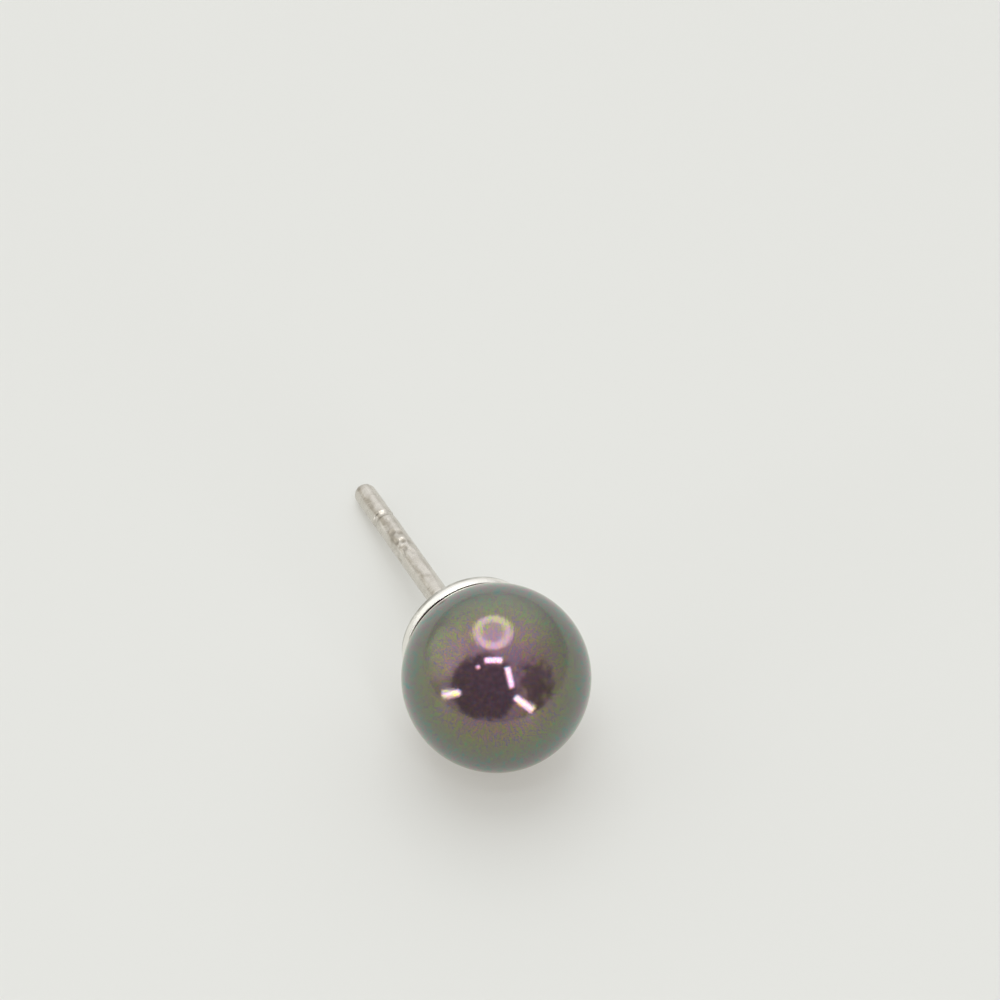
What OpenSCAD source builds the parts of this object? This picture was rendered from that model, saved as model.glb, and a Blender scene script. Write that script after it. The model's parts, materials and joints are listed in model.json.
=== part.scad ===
// Pearl stud earring: a half-drilled round pearl on the peg of a silver cup,
// with a round post behind the cup that goes through the ear lobe.
// The stud lies as it rests by itself, on the pearl and on the tip of its post.
// Millimetres, +Z up, post towards +Y, origin under the middle of the stud.

/* [Pearl] */
// Diameter of the pearl
pearl_d = 8; // [7.5:0.5:10]
// Diameter of the hole drilled half way into the pearl
hole_d = 1; // [0.9:0.05:1.2]
// Depth of that hole
hole_depth = 4; // [3.5:0.1:4.5]
// Turn of the round pearl on its peg, in degrees, which sets where the facets of its mesh lie
pearl_turn = 7.5; // [0:0.5:15]

/* [Cup] */
// Outside diameter of the cup, over its rounded lip
cup_d = 6; // [4.5:0.1:6.2]
// Thickness of the silver in the middle of the cup
cup_sheet = 0.3; // [0.2:0.05:0.35]
// Radius of the rounded lip, which ends in an edge beside the pearl
lip_r = 0.52; // [0.46:0.01:0.58]
// Depth of the middle of the lip's rounding below the surface of the pearl
lip_way_in = 0.1; // [0.06:0.01:0.14]
// Glue line between the pearl and the inside of the cup, which follows it
glue_gap = 0.05; // [0.03:0.01:0.08]

/* [Post] */
// Diameter of the post
post_d = 1; // [0.8:0.05:1.1]
// Length of the post behind the cup, over its rounded tip
post_l = 10.5; // [9:0.1:12]
// Diameter of the peg that holds the pearl
peg_d = 0.8; // [0.7:0.05:0.8]
// Length of the peg in front of the bottom of the cup
peg_l = 3.4; // [2.5:0.1:3.4]
// Radius of the solder fillet between post and cup
solder_r = 0.25; // [0.1:0.05:0.4]

/* [Groove that holds the ear nut] */
// Distance from the tip of the post to the middle of the groove
groove_from_tip = 2.7; // [2:0.1:3.5]
// Width of the groove at the surface of the post
groove_w = 0.4; // [0.3:0.05:0.8]
// Depth of the groove
groove_depth = 0.07; // [0.04:0.01:0.12]

/* [Hidden] */
$fn = 96;

// Places on the axis of the stud count from the centre of the pearl towards the tip
pearl_r = pearl_d / 2;
post_r = post_d / 2;
sheet_r = cup_sheet / 2;
cup_front = pearl_r + glue_gap;
cup_middle = cup_front + sheet_r;
cup_back = cup_front + cup_sheet;
tip_centre = cup_back + post_l - post_r;
groove_place = tip_centre + post_r - groove_from_tip;

// The lip's rounding goes round a ring of this radius, at this place and distance from the centre of the pearl
lip_ring_r = cup_d / 2 - lip_r;
lip_distance = pearl_r - lip_way_in;
lip_place = sqrt(pow(lip_distance, 2) - pow(lip_ring_r, 2));
// The back of the cup is part of a sphere that runs smoothly into the lip
back_reach = cup_back - lip_r;
dish_centre = (pow(back_reach, 2) - pow(lip_distance, 2)) / (2 * (back_reach - lip_place));
dish_r = cup_back - dish_centre;

// The solder fillet ends where the back of the cup has dropped away by this much
solder_edge = post_r + solder_r;
back_drop = dish_r - sqrt(pow(dish_r, 2) - pow(solder_edge, 2));
solder_place = cup_back - back_drop + solder_r;

// A groove is round in section, with this radius for its width and depth
groove_r = (pow(groove_w / 2, 2) + pow(groove_depth, 2)) / (2 * groove_depth);

// At rest the axis slopes down from the pearl to the tip
rest_tilt = asin((pearl_r - post_r) / tip_centre);
stud_front = -pearl_r;
stud_back = tip_centre * cos(rest_tilt) + post_r;

pearl_colour = [0.42, 0.34, 0.42];
silver_colour = [0.84, 0.83, 0.80];

// Lays a part, made standing along +Z from the centre of the pearl, in its place at rest
module laid_down() {
  translate([0, -(stud_front + stud_back) / 2, pearl_r])
    rotate([-90 - rest_tilt, 0, 0])
      children();
}

// Outline of the cup, whose back runs into the lip and whose inside follows the pearl
module cup_outline() {
  lip_way = [lip_ring_r, lip_place - dish_centre];
  difference() {
    union() {
      intersection() {
        translate([0, dish_centre])
          circle(r = dish_r);
        translate([0, dish_centre])
          polygon([[0, 0], 2 * lip_way, [0, 2 * dish_r]]);
      }
      translate([lip_ring_r, lip_place])
        circle(r = lip_r);
    }
    circle(r = cup_front);
  }
}

// Outline of the peg in front of the cup, sunk into the sheet
module peg_outline() {
  translate([0, cup_front - peg_l])
    square([peg_d / 2, peg_l + sheet_r]);
}

// Outline of the post behind the cup, with its rounded tip and its groove
module post_outline() {
  difference() {
    union() {
      translate([0, cup_middle])
        square([post_r, tip_centre - cup_middle]);
      intersection() {
        translate([0, tip_centre])
          circle(r = post_r);
        translate([0, tip_centre])
          square(post_r);
      }
    }
    translate([post_r + groove_r - groove_depth, groove_place])
      circle(r = groove_r);
  }
}

// Outline of the solder that runs up the foot of the post
module solder_outline() {
  difference() {
    translate([0, cup_middle])
      square([solder_edge, solder_place - cup_middle]);
    translate([solder_edge, solder_place])
      circle(r = solder_r);
  }
}

// Round pearl, drilled half way from the back
module pearl() {
  color(pearl_colour)
    laid_down()
      rotate([0, 0, pearl_turn])
        difference() {
          sphere(r = pearl_r);
          translate([0, 0, pearl_r - hole_depth])
            cylinder(d = hole_d, h = pearl_r);
        }
}

// Cup, peg and post of silver, soldered into one piece
module cup_and_post() {
  color(silver_colour)
    laid_down()
      rotate_extrude()
        union() {
          cup_outline();
          peg_outline();
          post_outline();
          solder_outline();
        }
}

pearl();
cup_and_post();
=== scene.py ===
import json
from math import asin, atan2, cos, degrees, exp, pi, radians, sin, sqrt, tau

import bmesh
import bpy
from mathutils import Matrix, Vector


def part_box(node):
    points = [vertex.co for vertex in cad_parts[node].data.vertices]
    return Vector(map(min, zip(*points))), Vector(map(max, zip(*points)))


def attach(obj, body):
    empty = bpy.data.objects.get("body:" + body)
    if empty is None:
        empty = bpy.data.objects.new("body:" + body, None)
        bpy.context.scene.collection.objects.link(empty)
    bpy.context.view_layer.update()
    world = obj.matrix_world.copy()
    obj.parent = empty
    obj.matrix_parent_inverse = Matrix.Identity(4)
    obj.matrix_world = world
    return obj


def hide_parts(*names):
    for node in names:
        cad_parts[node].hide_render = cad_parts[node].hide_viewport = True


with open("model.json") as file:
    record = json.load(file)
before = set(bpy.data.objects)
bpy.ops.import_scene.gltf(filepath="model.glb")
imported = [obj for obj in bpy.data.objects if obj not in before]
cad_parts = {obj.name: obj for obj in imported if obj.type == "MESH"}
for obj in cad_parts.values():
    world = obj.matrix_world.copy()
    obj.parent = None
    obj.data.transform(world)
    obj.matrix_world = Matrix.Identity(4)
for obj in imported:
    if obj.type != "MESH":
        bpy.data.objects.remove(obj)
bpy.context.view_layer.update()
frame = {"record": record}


# Pearl: a round glass bead of 8 mm under a dark coat of interference flakes and a clear lacquer.
# It is drilled half way from the back, and glued onto the peg in front of the silver cup.
mm = 0.001
pearl_radius = 4.0
hole_radius, hole_edge_round = 0.5, 0.06
drill_tip = 0.15
pearl_low, pearl_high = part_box("pearl")
pearl_centre = (Vector(pearl_low) + Vector(pearl_high)) / 2
post_axis = Vector(frame["record"]["mounts"][0]["axis"])
laid_down = Vector((0, 0, 1)).rotation_difference(post_axis)
lying = Matrix.Translation(pearl_centre) @ laid_down.to_matrix().to_4x4()
standing = lying.inverted()


def outline_start(body, radius, height):
    """Starts a half outline at a radius from the axis and a height along it, in millimetres."""
    return body.verts.new((radius * mm, 0, height * mm))


def line_to(body, last, radius, height, parts=1):
    """Draws a straight stretch of the outline in equal parts, and returns its last vertex."""
    step = (Vector((radius * mm, 0, height * mm)) - last.co) / parts
    for _ in range(parts):
        grown = bmesh.ops.extrude_vert_indiv(body, verts=[last])["verts"][0]
        grown.co = last.co + step
        last = grown
    return last


def arc_about(body, last, radius, height, angle, steps):
    """Draws an arc of the outline about a point, in degrees towards +X, and returns its last vertex."""
    drawn = bmesh.ops.spin(body, geom=[last], cent=(radius * mm, 0, height * mm), axis=(0, 1, 0),
                           angle=radians(angle), steps=steps)
    return [part for part in drawn["geom_last"] if isinstance(part, bmesh.types.BMVert)][0]


def round_corner(body, corner, rounding):
    """Rounds a corner of the outline, back to a distance in millimetres on both sides."""
    bmesh.ops.bevel(body, geom=[corner], offset=rounding * mm, offset_type="OFFSET", segments=4, profile=0.5,
                    affect="VERTICES", material=-1)


def turn_outline(body, steps):
    """Spins the outline about +Z into a closed round body whose faces point outwards."""
    bmesh.ops.spin(body, geom=body.verts[:] + body.edges[:], cent=(0, 0, 0), axis=(0, 0, 1),
                   angle=tau, steps=steps, use_merge=True)
    bmesh.ops.remove_doubles(body, verts=body.verts, dist=1e-7)
    bmesh.ops.recalc_face_normals(body, faces=body.faces)


def in_scene(name, body, materials):
    """Puts a body into the scene under its name, with its materials."""
    mesh = bpy.data.meshes.new(name)
    body.to_mesh(mesh)
    body.free()
    for material in materials:
        mesh.materials.append(material)
    piece = bpy.data.objects.new(name, mesh)
    bpy.context.scene.collection.objects.link(piece)
    return piece


def finished_piece(name, body, materials):
    """Lays a body, made standing about +Z from the pearl's centre, in its place, and makes it smooth."""
    bmesh.ops.transform(body, matrix=lying, verts=body.verts)
    piece = in_scene(name, body, materials)
    for polygon in piece.data.polygons:
        polygon.use_smooth = True
    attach(piece, "root")
    return piece


def feed(tree, node, inlets):
    """Links a node's inlets to the sockets or the first outlets of the nodes given, or sets plain values."""
    for inlet, given in inlets.items():
        if isinstance(given, bpy.types.Node):
            given = given.outputs[0]
        if isinstance(given, bpy.types.NodeSocket):
            tree.links.new(given, node.inputs[inlet])
        else:
            node.inputs[inlet].default_value = given


def add_node(tree, kind, inlets=None, **settings):
    """Adds a node with its settings and its inlets."""
    node = tree.nodes.new("ShaderNode" + kind)
    for name, value in settings.items():
        setattr(node, name, value)
    feed(tree, node, inlets or {})
    return node


def new_finish(name):
    """Gives a new material, its node tree and its Principled BSDF."""
    finish = bpy.data.materials.new(name)
    finish.use_nodes = True
    return finish, finish.node_tree, finish.node_tree.nodes["Principled BSDF"]


bead = bmesh.new()
point = outline_start(bead, 0, -pearl_radius)
mouth = arc_about(bead, point, 0, 0, degrees(asin(hole_radius / pearl_radius)) - 180, 128)
point = line_to(bead, mouth, hole_radius, drill_tip, 4)
point = line_to(bead, point, 0, 0, 2)
round_corner(bead, mouth, hole_edge_round)
turn_outline(bead, 192)

# The film on the flakes has two grades of thickness, in nanometres. Streaks that run out from one pole of the
# coat change its thickness and the share of the thin grade. The lacquer ripples with them, away from the pole.
plum_base = (0.052, 0.034, 0.042, 1)
lacquer_tint = (1, 1, 0.8, 1)
flake_scale, flake_lean = 90000.0, 0.03
streak_pole = Vector((-0.27, -0.56, 0.78))
streak_change_along = 200.0
thin_grade, thick_grade, streak_thickness = 212.0, 312.0, 165.0
fewest_thin, most_thin = 0.23, 0.53
smooth_pole, rippled_from, ripple_depth = 0.0008, 0.0030, 0.000007

pearl_coat, tree, shader = new_finish("pearl_coat")
place = add_node(tree, "TexCoord")
from_centre = add_node(tree, "Mapping", {"Vector": place.outputs["Object"], "Location": -pearl_centre})
along_pole = add_node(tree, "VectorMath", {0: from_centre, 1: streak_pole}, operation="PROJECT")
outwards = add_node(tree, "VectorMath", {0: from_centre, 1: along_pole}, operation="SUBTRACT")
round_pole = add_node(tree, "VectorMath", {0: outwards}, operation="NORMALIZE")
streak_place = add_node(tree, "VectorMath", {0: from_centre, 1: (streak_change_along,) * 3, 2: round_pole},
                        operation="MULTIPLY_ADD")
streaks = add_node(tree, "TexNoise", {"Vector": streak_place, "Scale": 11.0, "Detail": 4.0,
                                      "Roughness": 0.72})
flakes = add_node(tree, "TexVoronoi", {"Vector": from_centre, "Scale": flake_scale})
flake_kind = add_node(tree, "SeparateColor", {"Color": flakes.outputs["Color"]})
thin_share = add_node(tree, "MapRange", {"Value": streaks, "From Min": 0.3, "From Max": 0.7,
                                         "To Min": fewest_thin, "To Max": most_thin}, clamp=False)
flake_grade = add_node(tree, "Math", {0: flake_kind.outputs["Blue"], 1: thin_share}, operation="GREATER_THAN")
grade_thickness = add_node(tree, "MapRange", {"Value": flake_grade, "To Min": thin_grade,
                                              "To Max": thick_grade})
film_thickness = add_node(tree, "Math", {0: streaks, 1: streak_thickness, 2: grade_thickness},
                          operation="MULTIPLY_ADD")
off_pole = add_node(tree, "VectorMath", {0: outwards}, operation="LENGTH")
ripple_share = add_node(tree, "MapRange", {"Value": off_pole.outputs["Value"], "From Min": smooth_pole,
                                           "From Max": rippled_from}, interpolation_type="SMOOTHSTEP")
ripple = add_node(tree, "Bump", {"Strength": ripple_share, "Distance": ripple_depth, "Height": streaks})
lean = add_node(tree, "VectorMath", {0: flakes.outputs["Color"], 1: (flake_lean,) * 3,
                                     2: (-flake_lean / 2,) * 3}, operation="MULTIPLY_ADD")
tilted = add_node(tree, "VectorMath", {0: ripple, 1: lean}, operation="ADD")
flake_normal = add_node(tree, "VectorMath", {0: tilted}, operation="NORMALIZE")
feed(tree, shader, {"Base Color": plum_base, "Roughness": 0.08, "IOR": 3.26, "Normal": flake_normal,
                    "Thin Film Thickness": film_thickness, "Thin Film IOR": 1.58,
                    "Coat Weight": 0.2, "Coat Roughness": 0.02, "Coat IOR": 1.5, "Coat Tint": lacquer_tint})

pearl = finished_piece("pearl_bead", bead, [pearl_coat])
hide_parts("pearl")


# Cup, peg and post: sterling silver. The cup's inside follows the pearl, and its thick lip rounds over to a
# thin edge beside it. Peg and post are soldered on, and a groove near the round tip stops the ear nut.
glue_line, cup_thickness = 0.03, 0.35
cup_inside = pearl_radius + glue_line
cup_back = pearl_radius + cup_thickness
cup_radius, lip_radius, lip_way_in = 3.0, 0.52, 0.1
lip_ring_radius = cup_radius - lip_radius
lip_off_centre = pearl_radius - lip_way_in
lip_height = sqrt(lip_off_centre ** 2 - lip_ring_radius ** 2)
lip_edge_round = 0.04
peg_radius, peg_length, peg_end_round = 0.4, 3.4, 0.06
post_radius, post_length = 0.5, 10.5
tip_centre = cup_back + post_length - post_radius
solder_radius = 0.25
groove_from_tip, groove_half_width, groove_depth = 2.7, 0.2, 0.07
groove_height = cup_back + post_length - groove_from_tip

back_reach = cup_back - lip_radius
dish_centre = (back_reach ** 2 - lip_off_centre ** 2) / (2 * (back_reach - lip_height))
dish_radius = cup_back - dish_centre
edge_along = (lip_off_centre ** 2 + cup_inside ** 2 - lip_radius ** 2) / (2 * lip_off_centre)
edge_out = sqrt(cup_inside ** 2 - edge_along ** 2)
edge_radius = (lip_ring_radius * edge_along + lip_height * edge_out) / lip_off_centre
edge_height = (lip_height * edge_along - lip_ring_radius * edge_out) / lip_off_centre
edge_angle = degrees(atan2(edge_radius, edge_height))
edge_angle_on_lip = degrees(atan2(edge_radius - lip_ring_radius, edge_height - lip_height))
lip_end_angle = degrees(atan2(lip_ring_radius, lip_height - dish_centre))
peg_foot_angle = degrees(asin(peg_radius / cup_inside))
solder_edge = post_radius + solder_radius
solder_angle = degrees(asin(solder_edge / dish_radius))
solder_foot = dish_centre + sqrt(dish_radius ** 2 - solder_edge ** 2)
groove_radius = (groove_half_width ** 2 + groove_depth ** 2) / (2 * groove_depth)
groove_angle = degrees(asin(groove_half_width / groove_radius))

setting = bmesh.new()
point = outline_start(setting, 0, cup_inside - peg_length)
peg_end = line_to(setting, point, peg_radius, cup_inside - peg_length)
point = line_to(setting, peg_end, peg_radius, cup_inside * cos(radians(peg_foot_angle)), 6)
lip_edge = arc_about(setting, point, 0, 0, edge_angle - peg_foot_angle, 30)
point = arc_about(setting, lip_edge, lip_ring_radius, lip_height, lip_end_angle - edge_angle_on_lip, 18)
point = arc_about(setting, point, 0, dish_centre, solder_angle - lip_end_angle, 20)
point = arc_about(setting, point, solder_edge, solder_foot + solder_radius, 90, 8)
point = line_to(setting, point, post_radius, groove_height - groove_half_width, 140)
groove_centre = post_radius + groove_radius - groove_depth
point = arc_about(setting, point, groove_centre, groove_height, 2 * groove_angle, 10)
point = line_to(setting, point, post_radius, tip_centre, 36)
point = arc_about(setting, point, 0, tip_centre, -90, 16)
round_corner(setting, peg_end, peg_end_round)
round_corner(setting, lip_edge, lip_edge_round)
turn_outline(setting, 128)

# Marks of the tools that held the post, in millimetres and degrees: place along it from the pearl's centre,
# way round it, length, width and depth.
tool_marks = [
    (11.35, 247, 0.60, 0.24, 0.030), (10.73, 250, 0.20, 0.18, 0.050), (10.55, 282, 0.26, 0.16, 0.036),
    (10.33, 216, 0.24, 0.13, 0.032), (10.08, 238, 0.18, 0.16, 0.030), (9.93, 268, 0.22, 0.16, 0.042),
    (9.72, 300, 0.20, 0.15, 0.034), (9.58, 208, 0.34, 0.10, 0.028), (9.46, 254, 0.26, 0.15, 0.036),
    (9.22, 232, 0.30, 0.10, 0.022), (9.22, 190, 0.34, 0.10, 0.024), (9.02, 276, 0.24, 0.12, 0.026),
    (8.72, 306, 0.20, 0.12, 0.030), (8.30, 228, 0.60, 0.09, 0.014), (7.10, 275, 0.70, 0.12, 0.012),
    (13.30, 240, 0.50, 0.14, 0.014)]
tarnish_in_marks = 14
# Painted reflections, dark lines along the post where it mirrors dark parts of the room: way round it, width
# in degrees and strength.
painted_reflection_lines = [(236, 9, 0.65), (249, 24, 0.30), (293, 8, 0.22)]
line_sway, sways_along = 4, 1.7
# Tarnish and painted reflection from 0 to 1. On the cup it darkens over the first degrees of the turn from the
# lip to the back, as painted reflection of the shaded table at the cup's edge and as tarnish on the back, and
# fades again between two radii towards the middle of the back, where hands rub it. On the post it holds
# tarnish and the painted reflection lines.
post_tarnish, tip_tarnish, lip_tarnish, cup_tarnish_and_reflection, back_tarnish = 0.32, 0.6, 0.08, 1.0, 0.45
darkens_from, darkens_over = 4, 14
rubbed_outside, rubbed_over = 2.6, 0.9
post_start = solder_foot + 0.04
dented_outside = 0.3


def turned_from(around, way):
    """Gives how far a way round the post is from another, in degrees from -180 to 180."""
    return (around - way + 180) % 360 - 180


def share(value):
    """Keeps a value between 0 and 1."""
    return min(1, max(0, value))


tarnish_and_reflection = setting.verts.layers.float.new("tarnish_and_reflection")
for vert in setting.verts:
    height, radius = vert.co.z / mm, vert.co.xy.length / mm
    if height > post_start:
        around = degrees(atan2(vert.co.y, vert.co.x))
        pressed = 0
        stain_and_reflection = post_tarnish + tip_tarnish * max(0, (height - tip_centre) / post_radius) ** 2
        for mark_height, way, long, wide, deep in tool_marks:
            aside = radians(turned_from(around, way)) * post_radius
            near = max(0, 1 - ((height - mark_height) / long) ** 2 - (aside / wide) ** 2)
            pressed += deep * near ** 0.8
            stain_and_reflection += tarnish_in_marks * deep * near
        # Painted reflection: dark lines along the post, added into the tarnish value.
        for way, wide, dark in painted_reflection_lines:
            sway = line_sway * sin(sways_along * height + way)
            stain_and_reflection += dark * exp(-(turned_from(around + sway, way) / wide) ** 2)
        vert[tarnish_and_reflection] = min(1, stain_and_reflection)
        if height > solder_foot + solder_radius and radius > dented_outside:
            shrink = (radius - pressed) / radius
            vert.co.x *= shrink
            vert.co.y *= shrink
    else:
        # Cup: tarnish, and painted reflection of the shaded table darkening the turn from the lip to the back.
        way_on_lip = degrees(atan2(height - lip_height, radius - lip_ring_radius))
        turned_back = share((way_on_lip - darkens_from) / darkens_over)
        rubbed = share((rubbed_outside - radius) / rubbed_over)
        outer_tarnish_and_reflection = cup_tarnish_and_reflection + (back_tarnish - cup_tarnish_and_reflection) * rubbed
        vert[tarnish_and_reflection] = lip_tarnish + (outer_tarnish_and_reflection - lip_tarnish) * turned_back

# Wear on the silver: tarnish in soft blots, and fine scratches that run along the post. The value it darkens
# by holds tarnish and painted reflections.
scratch_length, scratch_darkness, least_blot, blot_height = 0.06, 0.35, 0.35, 3.0
silver_wear = bpy.data.node_groups.new("silver_wear", "ShaderNodeTree")
wear_sockets = {"INPUT": [("Place", "Vector"), ("Clean Silver", "Color"), ("Tarnish And Reflection Tone", "Color"),
                          ("Tarnish And Reflection", "Float"), ("Blot Scale", "Float"), ("Scratch Scale", "Float"),
                          ("Polished Roughness", "Float"), ("Worn Roughness", "Float")],
                "OUTPUT": [("Tone", "Color"), ("Roughness", "Float"), ("Height", "Float")]}
for side, sockets in wear_sockets.items():
    for label, kind in sockets:
        silver_wear.interface.new_socket(label, in_out=side, socket_type="NodeSocket" + kind)
tree = silver_wear
given = tree.nodes.new("NodeGroupInput").outputs
blots = add_node(tree, "TexNoise", {"Vector": given["Place"], "Scale": given["Blot Scale"], "Detail": 5.0,
                                    "Roughness": 0.62, "Distortion": 0.6})
blotted = add_node(tree, "MapRange", {"Value": blots, "From Min": 0.36, "From Max": 0.66,
                                      "To Min": least_blot}, interpolation_type="SMOOTHSTEP")
drawn_out = add_node(tree, "Mapping", {"Vector": given["Place"], "Scale": (1, 1, scratch_length)})
scratches = add_node(tree, "TexNoise", {"Vector": drawn_out, "Scale": given["Scratch Scale"], "Detail": 4.0,
                                        "Roughness": 0.7})
scratched = add_node(tree, "MapRange", {"Value": scratches, "From Min": 0.30, "From Max": 0.70})
grime = add_node(tree, "Math", {0: scratched, 1: scratch_darkness, 2: blotted}, operation="MULTIPLY_ADD")
tarnish_and_reflection_share = add_node(tree, "Math", {0: grime, 1: given["Tarnish And Reflection"]}, operation="MULTIPLY", use_clamp=True)
silver_tone = add_node(tree, "Mix", data_type="RGBA")
feed(tree, silver_tone, {0: tarnish_and_reflection_share, 6: given["Clean Silver"], 7: given["Tarnish And Reflection Tone"]})
dullness = add_node(tree, "MapRange", {"Value": grime, "To Min": given["Polished Roughness"],
                                       "To Max": given["Worn Roughness"]})
relief = add_node(tree, "Math", {0: blots, 1: blot_height, 2: scratches}, operation="MULTIPLY_ADD")
feed(tree, tree.nodes.new("NodeGroupOutput"),
     {"Tone": silver_tone.outputs[2], "Roughness": dullness, "Height": relief})


def silver_finish(name, wear, mark_depth=0.000008):
    """Makes a silver finish with its own wear, darker where the mesh's attribute of tarnish and painted
    reflection is high.
    """
    finish, tree, shader = new_finish(name)
    place = add_node(tree, "TexCoord")
    upright = add_node(tree, "Mapping", {"Vector": place.outputs["Object"], "Location": standing.translation,
                                         "Rotation": standing.to_euler()})
    tarnish_and_reflection_node = add_node(tree, "Attribute", attribute_name="tarnish_and_reflection")
    worn = add_node(tree, "Group", node_tree=silver_wear)
    feed(tree, worn, {"Place": upright, "Tarnish And Reflection": tarnish_and_reflection_node.outputs["Fac"], **wear})
    marks = add_node(tree, "Bump", {"Distance": mark_depth, "Height": worn.outputs["Height"]})
    feed(tree, shader, {"Metallic": 1.0, "Base Color": worn.outputs["Tone"],
                        "Roughness": worn.outputs["Roughness"], "Normal": marks})
    return finish


polished_silver = silver_finish("polished_silver", {
    "Clean Silver": (0.93, 0.91, 0.86, 1), "Tarnish And Reflection Tone": (0.36, 0.345, 0.30, 1),
    "Blot Scale": 900.0, "Scratch Scale": 9000.0, "Polished Roughness": 0.07, "Worn Roughness": 0.16})
# The post's silver: rougher from handling, and its clean tone darker than the cup's as painted shade for the
# darker room it mirrors.
handled_and_shaded_silver = silver_finish("handled_and_shaded_silver", {
    "Clean Silver": (0.76, 0.73, 0.675, 1), "Tarnish And Reflection Tone": (0.38, 0.345, 0.29, 1),
    "Blot Scale": 1500.0, "Scratch Scale": 12000.0, "Polished Roughness": 0.12, "Worn Roughness": 0.30})

cup_and_post = finished_piece("silver_cup_and_post", setting, [polished_silver, handled_and_shaded_silver])
# The post's faces take the darker copy of silver, with its painted shade.
handled_and_shaded_from = solder_foot + 0.02
for polygon in cup_and_post.data.polygons:
    middle = standing @ polygon.center / mm
    if middle.z > handled_and_shaded_from and middle.xy.length < solder_edge:
        polygon.material_index = 1
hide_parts("cup_and_post")


# Table: a plain pale board that fills the picture, with a slight glow that softens the shadow on it.
# Around it is a plain pale room, with soft bright and dark shapes that the bead and the silver mirror.
board_half = 3.0
board_tone, board_glow = (0.38, 0.40, 0.40, 1), (1, 0.955, 0.86, 1)
white_board, tree, shader = new_finish("white_board")
feed(tree, shader, {"Base Color": board_tone, "Roughness": 0.6, "Emission Color": board_glow,
                    "Emission Strength": 0.35})
board = bmesh.new()
bmesh.ops.create_grid(board, x_segments=1, y_segments=1, size=board_half)
floor = in_scene("floor", board, [white_board])

# Tones of the walls by height, from straight below to straight above.
wall_tones = [(0.0, (0.85, 0.84, 0.82, 1)), (0.06, (0.83, 0.82, 0.80, 1)), (0.18, (0.86, 0.85, 0.83, 1)),
              (0.40, (0.90, 0.90, 0.88, 1)), (0.62, (0.90, 0.90, 0.89, 1)), (0.86, (0.98, 0.98, 0.98, 1)),
              (0.96, (1, 1, 1, 1))]
# Soft shapes in the room: direction, cosines of the angles where the shape starts and is full, and tone.
room_shapes = [((0.27, 0.58, 0.77), 0.45, 1.0, (1.6, 1.6, 1.6, 1)),
               ((-0.66, 0.55, 0.51), 0.80, 0.97, (1.7, 1.7, 1.65, 1)),
               ((-0.55, -0.54, 0.64), 0.72, 0.81, (0.16, 0.15, 0.16, 1)),
               ((0.52, -0.70, 0.49), 0.905, 0.95, (0.26, 0.25, 0.24, 1)),
               ((0.47, -0.86, 0.21), 0.955, 0.98, (0.22, 0.21, 0.19, 1))]
ragged_by, thinnest_shape = 0.5, 0.72
seen_behind, room_light = (0.69, 0.70, 0.68, 1), 0.72

room = bpy.data.worlds.new("room")
bpy.context.scene.world = room
room.use_nodes = True
tree = room.node_tree
way = add_node(tree, "TexCoord").outputs["Generated"]
height = add_node(tree, "SeparateXYZ", {"Vector": way})
walls = add_node(tree, "ValToRGB", {"Fac": height.outputs["Z"]})
for stop_height, tone in wall_tones[1:-1]:
    walls.color_ramp.elements.new(stop_height)
for stop, (stop_height, tone) in zip(walls.color_ramp.elements, wall_tones):
    stop.position, stop.color = stop_height, tone
rough_edges = add_node(tree, "TexNoise", {"Vector": way, "Scale": 6.0, "Detail": 7.0, "Roughness": 0.72})
off_middle = add_node(tree, "VectorMath", {0: rough_edges.outputs["Color"], 1: (0.5, 0.5, 0.5)},
                      operation="SUBTRACT")
ragged_way = add_node(tree, "VectorMath", {0: off_middle, 1: (ragged_by,) * 3, 2: way},
                      operation="MULTIPLY_ADD")
dapples = add_node(tree, "TexNoise", {"Vector": way, "Scale": 16.0, "Detail": 5.0, "Roughness": 0.7})
solidness = add_node(tree, "MapRange", {"Value": dapples, "From Min": 0.46, "From Max": 0.60, "To Min": 1.0,
                                        "To Max": thinnest_shape}, interpolation_type="SMOOTHSTEP")
mirrored = walls.outputs["Color"]
for middle_way, starts, full, tone in room_shapes:
    nearness = add_node(tree, "VectorMath", {0: ragged_way, 1: Vector(middle_way).normalized()},
                        operation="DOT_PRODUCT")
    covered = add_node(tree, "MapRange", {"Value": nearness.outputs["Value"], "From Min": starts,
                                          "From Max": full}, interpolation_type="SMOOTHSTEP")
    dappled = add_node(tree, "Math", {0: covered, 1: solidness}, operation="MULTIPLY")
    blend = add_node(tree, "Mix", data_type="RGBA")
    feed(tree, blend, {0: dappled, 6: mirrored, 7: tone})
    mirrored = blend.outputs[2]
path = add_node(tree, "LightPath")
seen = add_node(tree, "Mix", data_type="RGBA")
feed(tree, seen, {0: path.outputs["Is Camera Ray"], 6: mirrored, 7: seen_behind})
feed(tree, tree.nodes["Background"], {"Color": seen.outputs[2], "Strength": room_light})


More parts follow.
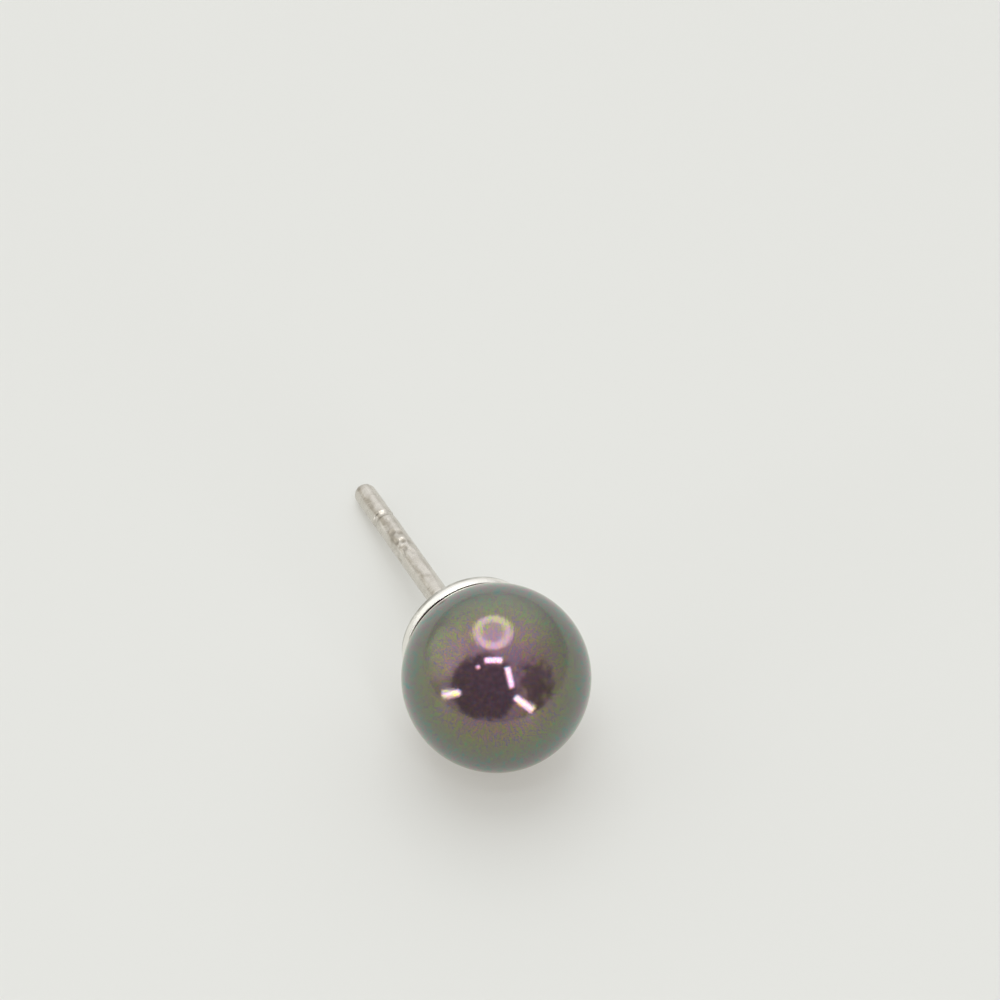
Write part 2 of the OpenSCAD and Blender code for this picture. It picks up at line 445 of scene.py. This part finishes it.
# Lights: five plain strip lamps and a ring lamp, which the bead mirrors.
# Each strip runs between two directions seen from the pearl, and the camera doesn't see the lamps.
lamp_distance = 0.42
strip_glow = 6.5
strips = [("lamp_top", (-0.31, -0.13, 0.94), (0.0, -0.28, 0.96), 6.0),
          ("lamp_front", (0.04, -0.44, 0.90), (-0.01, -0.77, 0.64), 5.5),
          ("lamp_low", (0.0, -0.89, 0.46), (0.28, -0.96, 0.06), 6.1),
          ("lamp_left", (-1.0, 0.01, 0.09), (-0.88, -0.27, 0.39), 5.2),
          ("lamp_small", (-0.49, -0.14, 0.86), (-0.47, -0.19, 0.86), 3.4)]
for name, start, end, wide in strips:
    ends = [Vector(way).normalized() * lamp_distance for way in (start, end)]
    middle = (ends[0] + ends[1]) / 2
    away = middle.normalized()
    along = (ends[1] - ends[0]).normalized()
    across = away.cross(along).normalized()
    lamp = bpy.data.lights.new(name, "AREA")
    lamp.shape = "RECTANGLE"
    lamp.size = (ends[1] - ends[0]).length
    lamp.size_y = radians(wide) * lamp_distance
    lamp.energy = strip_glow * lamp.size * lamp.size_y * pi
    strip = bpy.data.objects.new(name, lamp)
    facing = Matrix((along, across, away)).transposed().to_4x4()
    strip.matrix_world = Matrix.Translation(pearl_centre + middle) @ facing
    strip.visible_camera = False
    bpy.context.scene.collection.objects.link(strip)

ring_way = Vector((0.10, 0.36, 0.93)).normalized()
ring_distance = 0.5
ring_inner, ring_outer, ring_stretch = 0.11, 0.187, 1.15
ring = bmesh.new()
bmesh.ops.create_circle(ring, cap_ends=True, segments=64, radius=ring_inner)
grown = bmesh.ops.extrude_edge_only(ring, edges=ring.edges[:])["geom"]
bmesh.ops.scale(ring, vec=Vector((1, 1, 1)) * ring_outer / ring_inner,
                verts=[part for part in grown if isinstance(part, bmesh.types.BMVert)])
ring_facing = ring_way.to_track_quat("Z", "Y").to_matrix().to_4x4() @ Matrix.Diagonal((1, ring_stretch, 1, 1))
bmesh.ops.transform(ring, matrix=Matrix.Translation(pearl_centre + ring_way * ring_distance) @ ring_facing,
                    verts=ring.verts)
ring_glows = []
for name, strength in (("ring_glow", 2.8), ("dim_middle", 1.6)):
    glow, tree, shader = new_finish(name)
    feed(tree, shader, {"Base Color": (0, 0, 0, 1), "Emission Color": (1, 1, 1, 1),
                        "Emission Strength": strength})
    ring_glows.append(glow)
ring_lamp = in_scene("ring_lamp", ring, ring_glows)
ring_lamp.visible_camera = False
for polygon in ring_lamp.data.polygons:
    polygon.material_index = 0 if len(polygon.vertices) == 4 else 1


# Camera: above and to the left in front of the pearl, with the stud low in a wide empty frame.
azimuth, elevation = radians(-24.96), radians(51.46)
view_back = Vector((sin(azimuth) * cos(elevation), -cos(azimuth) * cos(elevation), sin(elevation)))
focal_pixels = 3565.0
picture_width = 1000
pearl_right, pearl_down = -3.7, 177.7
pearl_distance = 0.150

camera_data = bpy.data.cameras.new("camera")
camera_data.sensor_width = 36.0
camera_data.lens = focal_pixels * camera_data.sensor_width / picture_width
camera_data.clip_start = 0.001
camera_data.clip_end = 20.0
camera = bpy.data.objects.new("camera", camera_data)
camera_turn = view_back.to_track_quat("Z", "Y")
ray = camera_turn @ Vector((pearl_right / focal_pixels, -pearl_down / focal_pixels, -1))
camera.location = pearl_centre - ray.normalized() * pearl_distance
camera.rotation_euler = camera_turn.to_euler()
bpy.context.scene.collection.objects.link(camera)
bpy.context.scene.camera = camera
bpy.context.scene.view_settings.view_transform = "Standard"
